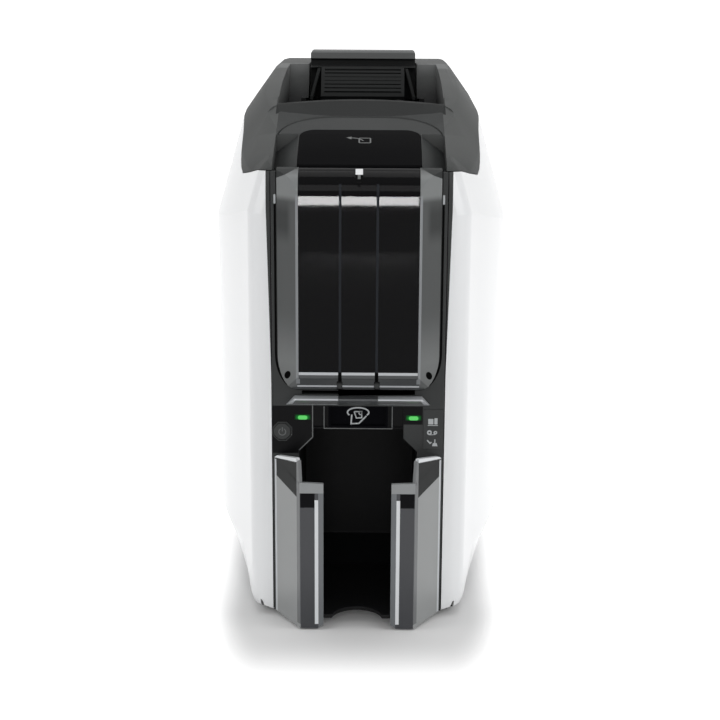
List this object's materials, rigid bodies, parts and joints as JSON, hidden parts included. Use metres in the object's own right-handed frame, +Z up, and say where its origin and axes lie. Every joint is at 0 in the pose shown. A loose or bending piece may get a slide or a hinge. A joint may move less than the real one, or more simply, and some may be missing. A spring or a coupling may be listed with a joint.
{
  "type": "id card printer",
  "caption": "Slim tower card printer with a smoked input hopper door, lift-up top cover with latch, roller drive inside and a clear output hopper at the front.",
  "frame": {"origin": "on the table at the middle of the printer's plan", "axes": "+X is the width, to the right as seen from the front; +Y runs from the front to the rear; +Z is up"},
  "size_m": [0.16, 0.4, 0.2765],
  "materials": {
    "shell_white": "gloss",
    "cover_grey": "fine texture",
    "hood_black": "gloss",
    "bezel_grey": "satin",
    "inner_grey": "matte",
    "inner_black": "matte",
    "door_smoke": "gloss",
    "door_frame": "gloss",
    "wing_smoke": "gloss",
    "lip_clear": "gloss",
    "pull_white": "gloss",
    "light_green": "gloss",
    "steel": "brushed",
    "brass": "satin",
    "alu": "satin",
    "head_ceramic": "satin",
    "rubber": "matte",
    "cleaner": "tacky",
    "gear_plastic": "satin",
    "ribbon": "satin",
    "board": "satin"
  },
  "bodies": {
    "housing": {"left_side_panel": "shell_white", "right_side_panel": "shell_white", "hinge_pins": "steel", "front_bezel": "bezel_grey", "feed_lip": "lip_clear", "feed_window": "hood_black", "status_lights": "light_green", "icon_plate": "bezel_grey", "control_boards": "board", "button_switch": "steel", "base_tray": "inner_grey", "rubber_feet": "rubber", "rear_panel": "inner_grey", "inner_deck": "inner_grey", "left_frame": "steel", "right_frame": "steel", "cross_bars": "steel", "shaft_bushes": "brass", "spool_pegs": "inner_grey", "pinch_rollers": "steel", "drive_motor": "steel", "drive_belt": "rubber", "hopper_box": "inner_black", "output_liner": "inner_black", "card_guides": "inner_black", "main_board": "board", "board_parts": "inner_black", "power_inlet": "inner_black", "data_sockets": "steel", "housing_screws": "steel"},
    "cover": {"top_cover": "cover_grey", "hood_insert": "hood_black", "cover_hinge_barrel": "cover_grey", "latch_bearings": "inner_grey", "head_bracket": "steel", "print_head": "head_ceramic", "head_heat_sink": "alu"},
    "latch": {"latch_lever": "cover_grey", "latch_hooks": "steel"},
    "door": {"door_pane": "door_smoke", "door_carrier": "door_frame", "door_pull": "pull_white"},
    "weight": {"card_weight": "inner_grey"},
    "button": {"power_button": "bezel_grey"},
    "output_hopper": {"output_wings": "wing_smoke", "output_tray": "inner_black"},
    "platen": {"platen_roller": "rubber", "platen_shaft": "steel", "platen_gear": "gear_plastic"},
    "pinion": {"motor_pinion": "brass"},
    "pick": {"pick_roller": "rubber", "pick_shaft": "steel"},
    "transport": {"transport_roller": "rubber", "transport_shaft": "steel"},
    "cleaner": {"cleaning_roller": "cleaner"},
    "exit": {"exit_roller": "rubber"},
    "supply": {"supply_spool": "ribbon"},
    "takeup": {"takeup_spool": "ribbon"}
  },
  "joints": [
    {"name": "cover_hinge", "type": "hinge", "parent": "housing", "child": "cover", "pos_m": [0, 0.1885, 0.226], "axis": [-1, 0, 0], "range_deg": [0, 70]},
    {"name": "latch_pivot", "type": "hinge", "parent": "cover", "child": "latch", "pos_m": [0, 0.008, 0.24], "axis": [1, 0, 0], "range_deg": [0, 12], "stiffness_Nm_per_rad": 0.6, "springref_deg": -14.32},
    {"name": "door_hinge", "type": "hinge", "parent": "housing", "child": "door", "pos_m": [0, -0.1846, 0.1259], "axis": [1, 0, 0], "range_deg": [0, 75]},
    {"name": "weight_slide", "type": "slide", "parent": "housing", "child": "weight", "axis": [0, 0, 1], "range_m": [0, 0.068]},
    {"name": "button_slide", "type": "slide", "parent": "housing", "child": "button", "axis": [0, 1, 0], "range_m": [0, 0.0012], "stiffness_N_per_m": 500, "springref_m": -0.001},
    {"name": "hopper_slide", "type": "slide", "parent": "housing", "child": "output_hopper", "axis": [0, -1, 0], "range_m": [0, 0.03]},
    {"name": "platen_spin", "type": "hinge", "parent": "housing", "child": "platen", "pos_m": [0, 0.015, 0.112], "axis": [1, 0, 0], "continuous": true},
    {"name": "motor_spin", "type": "hinge", "parent": "housing", "child": "pinion", "pos_m": [0, 0.03943, 0.08289], "axis": [1, 0, 0], "continuous": true},
    {"name": "pick_spin", "type": "hinge", "parent": "housing", "child": "pick", "pos_m": [0, -0.095, 0.112], "axis": [1, 0, 0], "continuous": true},
    {"name": "transport_spin", "type": "hinge", "parent": "housing", "child": "transport", "pos_m": [0, -0.07, 0.112], "axis": [1, 0, 0], "continuous": true},
    {"name": "cleaner_spin", "type": "hinge", "parent": "housing", "child": "cleaner", "pos_m": [0, -0.045, 0.1273], "axis": [1, 0, 0], "continuous": true},
    {"name": "exit_spin", "type": "hinge", "parent": "housing", "child": "exit", "pos_m": [0, -0.094, 0.082], "axis": [1, 0, 0], "continuous": true},
    {"name": "supply_spin", "type": "hinge", "parent": "housing", "child": "supply", "pos_m": [0, 0.085, 0.165], "axis": [1, 0, 0], "continuous": true},
    {"name": "takeup_spin", "type": "hinge", "parent": "housing", "child": "takeup", "pos_m": [0, -0.05, 0.165], "axis": [1, 0, 0], "continuous": true}
  ],
  "couplings": [
    {"joint": "motor_spin", "follows": "platen_spin", "ratio": -3.75},
    {"joint": "pick_spin", "follows": "platen_spin", "ratio": 1},
    {"joint": "transport_spin", "follows": "platen_spin", "ratio": 1}
  ]
}
